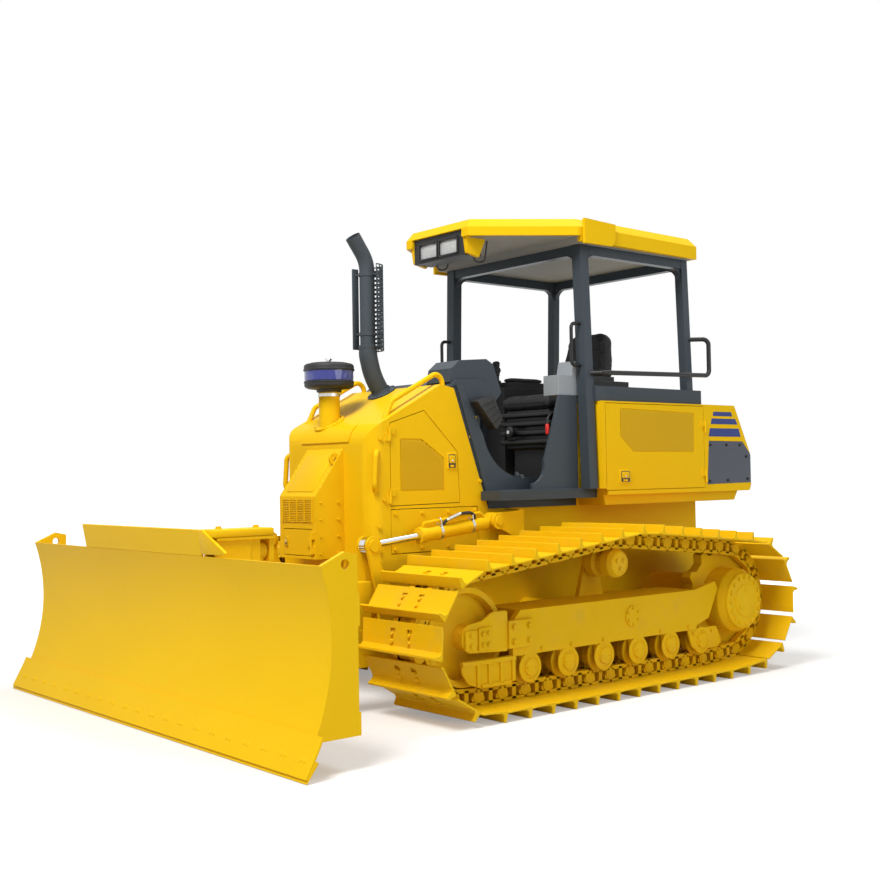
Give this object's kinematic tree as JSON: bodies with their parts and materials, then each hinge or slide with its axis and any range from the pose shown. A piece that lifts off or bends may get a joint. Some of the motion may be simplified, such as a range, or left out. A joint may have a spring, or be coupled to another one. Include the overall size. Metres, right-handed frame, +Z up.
{
  "type": "bulldozer",
  "caption": "Track-laying bulldozer with an open canopy and a straight blade on a C-frame that lifts, angles and tilts for pushing earth.",
  "frame": {"origin": "on the ground under the middle of the machine's box", "axes": "+X forward, +Y to the machine's left, +Z up"},
  "size_m": [4.318, 3.22, 2.83],
  "materials": {
    "yellow_paint": "gloss paint",
    "dark_grey_paint": "satin paint",
    "black_plastic": "grained",
    "black_paint": "satin paint",
    "seat_rubber": "matt",
    "seat_vinyl": "grained vinyl",
    "grey_plastic": "fine grain",
    "lamp_glass": "clear",
    "engine_iron": "cast",
    "chrome_rod": "polished"
  },
  "bodies": {
    "chassis": {"main_frame": "yellow_paint", "engine_block": "engine_iron", "track_frames": "yellow_paint", "track_left": "yellow_paint", "track_right": "yellow_paint", "idlers": "yellow_paint", "track_rollers": "yellow_paint", "carrier_rollers": "yellow_paint", "sprockets": "yellow_paint", "final_drives": "yellow_paint", "hood_shell": "yellow_paint", "hood_side_panels": "yellow_paint", "front_grille": "yellow_paint", "exhaust_stack": "dark_grey_paint", "exhaust_guard": "dark_grey_paint", "pre_cleaner": "black_plastic", "hood_rails": "yellow_paint", "dash_console": "dark_grey_paint", "operator_platform": "dark_grey_paint", "seat_suspension": "seat_rubber", "seat_cushion": "seat_vinyl", "seat_back": "seat_vinyl", "side_consoles": "grey_plastic", "control_levers": "black_plastic", "canopy_frame": "dark_grey_paint", "roof_panel": "yellow_paint", "roof_lamps": "black_plastic", "lamp_lenses": "lamp_glass", "cab_rails": "black_paint", "rear_body": "yellow_paint", "rear_corner_covers": "dark_grey_paint", "drawbar": "yellow_paint"},
    "c_frame": {"c_frame": "yellow_paint"},
    "bolster": {"bolster": "yellow_paint"},
    "blade": {"mouldboard": "yellow_paint", "cutting_edge": "yellow_paint", "spill_guard": "yellow_paint"},
    "lift_barrel_left": {"lift_barrel_left": "yellow_paint"},
    "lift_rod_left": {"lift_rod_left": "chrome_rod"},
    "angle_barrel_left": {"angle_barrel_left": "yellow_paint"},
    "angle_rod_left": {"angle_rod_left": "chrome_rod"},
    "engine_door_left": {"engine_door_left": "yellow_paint"},
    "rear_panel_left": {"rear_panel_left": "yellow_paint"},
    "lift_barrel_right": {"lift_barrel_right": "yellow_paint"},
    "lift_rod_right": {"lift_rod_right": "chrome_rod"},
    "angle_barrel_right": {"angle_barrel_right": "yellow_paint"},
    "angle_rod_right": {"angle_rod_right": "chrome_rod"},
    "engine_door_right": {"engine_door_right": "yellow_paint"},
    "rear_panel_right": {"rear_panel_right": "yellow_paint"},
    "tilt_barrel": {"tilt_barrel": "yellow_paint"},
    "tilt_rod": {"tilt_rod": "chrome_rod"},
    "front_access_door": {"front_access_door": "yellow_paint"}
  },
  "joints": [
    {"name": "blade_lift", "type": "hinge", "parent": "chassis", "child": "c_frame", "pos_m": [0.09095, 0, 0.4], "axis": [0, 1, 0], "range_deg": [-26, 12]},
    {"name": "blade_angle", "type": "hinge", "parent": "c_frame", "child": "bolster", "pos_m": [1.59095, 0, 0.345], "axis": [0, 0, 1], "range_deg": [-25, 25]},
    {"name": "blade_tilt", "type": "hinge", "parent": "bolster", "child": "blade", "pos_m": [1.87095, 0, 0.35], "axis": [1, 0, 0], "range_deg": [-7, 7]},
    {"name": "lift_barrel_left_pivot", "type": "hinge", "parent": "chassis", "child": "lift_barrel_left", "pos_m": [0.08995, 0.515, 0.99], "axis": [0, 1, 0], "range_deg": [-26.76, 12.35]},
    {"name": "lift_rod_left_slide", "type": "slide", "parent": "lift_barrel_left", "child": "lift_rod_left", "axis": [0.9942, 0, -0.1079], "range_m": [-0.26818, 0.12378]},
    {"name": "angle_barrel_left_pivot", "type": "hinge", "parent": "c_frame", "child": "angle_barrel_left", "pos_m": [1.06095, 0.5, 0.56], "axis": [0, 0, 1], "range_deg": [-2.98, 2.98]},
    {"name": "angle_rod_left_slide", "type": "slide", "parent": "angle_barrel_left", "child": "angle_rod_left", "axis": [0.9848, -0.1738, 0], "range_m": [-0.17593, 0.17593]},
    {"name": "lift_barrel_right_pivot", "type": "hinge", "parent": "chassis", "child": "lift_barrel_right", "pos_m": [0.08995, -0.515, 0.99], "axis": [0, 1, 0], "range_deg": [-26.76, 12.35]},
    {"name": "lift_rod_right_slide", "type": "slide", "parent": "lift_barrel_right", "child": "lift_rod_right", "axis": [0.9942, 0, -0.1079], "range_m": [-0.26818, 0.12378]},
    {"name": "angle_barrel_right_pivot", "type": "hinge", "parent": "c_frame", "child": "angle_barrel_right", "pos_m": [1.06095, -0.5, 0.56], "axis": [0, 0, 1], "range_deg": [-2.98, 2.98]},
    {"name": "angle_rod_right_slide", "type": "slide", "parent": "angle_barrel_right", "child": "angle_rod_right", "axis": [0.9848, 0.1738, 0], "range_m": [-0.17593, 0.17593]},
    {"name": "tilt_barrel_pivot", "type": "hinge", "parent": "blade", "child": "tilt_barrel", "pos_m": [1.75345, 0.6, 0.905], "axis": [1, 0, 0], "range_deg": [-2.87, 2.87]},
    {"name": "tilt_rod_slide", "type": "slide", "parent": "tilt_barrel", "child": "tilt_rod", "axis": [0, 0, -1], "range_m": [-0.07397, 0.07397]},
    {"name": "engine_door_left_hinge", "type": "hinge", "parent": "chassis", "child": "engine_door_left", "pos_m": [0.80495, 0.448, 1.3], "axis": [0, 0, -1], "range_deg": [0, 100]},
    {"name": "rear_panel_left_hinge", "type": "hinge", "parent": "chassis", "child": "rear_panel_left", "pos_m": [-1.65305, 0.723, 1.4], "axis": [0, 0, 1], "range_deg": [0, 100]},
    {"name": "engine_door_right_hinge", "type": "hinge", "parent": "chassis", "child": "engine_door_right", "pos_m": [0.80495, -0.448, 1.3], "axis": [0, 0, 1], "range_deg": [0, 100]},
    {"name": "rear_panel_right_hinge", "type": "hinge", "parent": "chassis", "child": "rear_panel_right", "pos_m": [-1.65305, -0.723, 1.4], "axis": [0, 0, -1], "range_deg": [0, 100]},
    {"name": "front_access_hinge", "type": "hinge", "parent": "chassis", "child": "front_access_door", "pos_m": [1.13995, 0.148, 0.89], "axis": [0, 0, 1], "range_deg": [0, 100]}
  ],
  "couplings": [
    {"joint": "lift_barrel_left_pivot", "follows": "blade_lift", "ratio": 1.0091},
    {"joint": "lift_rod_left_slide", "follows": "blade_lift", "m_per_rad": 0.5794},
    {"joint": "angle_barrel_left_pivot", "follows": "blade_angle", "ratio": 0.117},
    {"joint": "angle_rod_left_slide", "follows": "blade_angle", "m_per_rad": -0.3953},
    {"joint": "lift_barrel_right_pivot", "follows": "blade_lift", "ratio": 1.0091},
    {"joint": "lift_rod_right_slide", "follows": "blade_lift", "m_per_rad": 0.5794},
    {"joint": "angle_barrel_right_pivot", "follows": "blade_angle", "ratio": 0.117},
    {"joint": "angle_rod_right_slide", "follows": "blade_angle", "m_per_rad": 0.3953},
    {"joint": "tilt_barrel_pivot", "follows": "blade_tilt", "ratio": 0.4013},
    {"joint": "tilt_rod_slide", "follows": "blade_tilt", "m_per_rad": 0.5936}
  ]
}
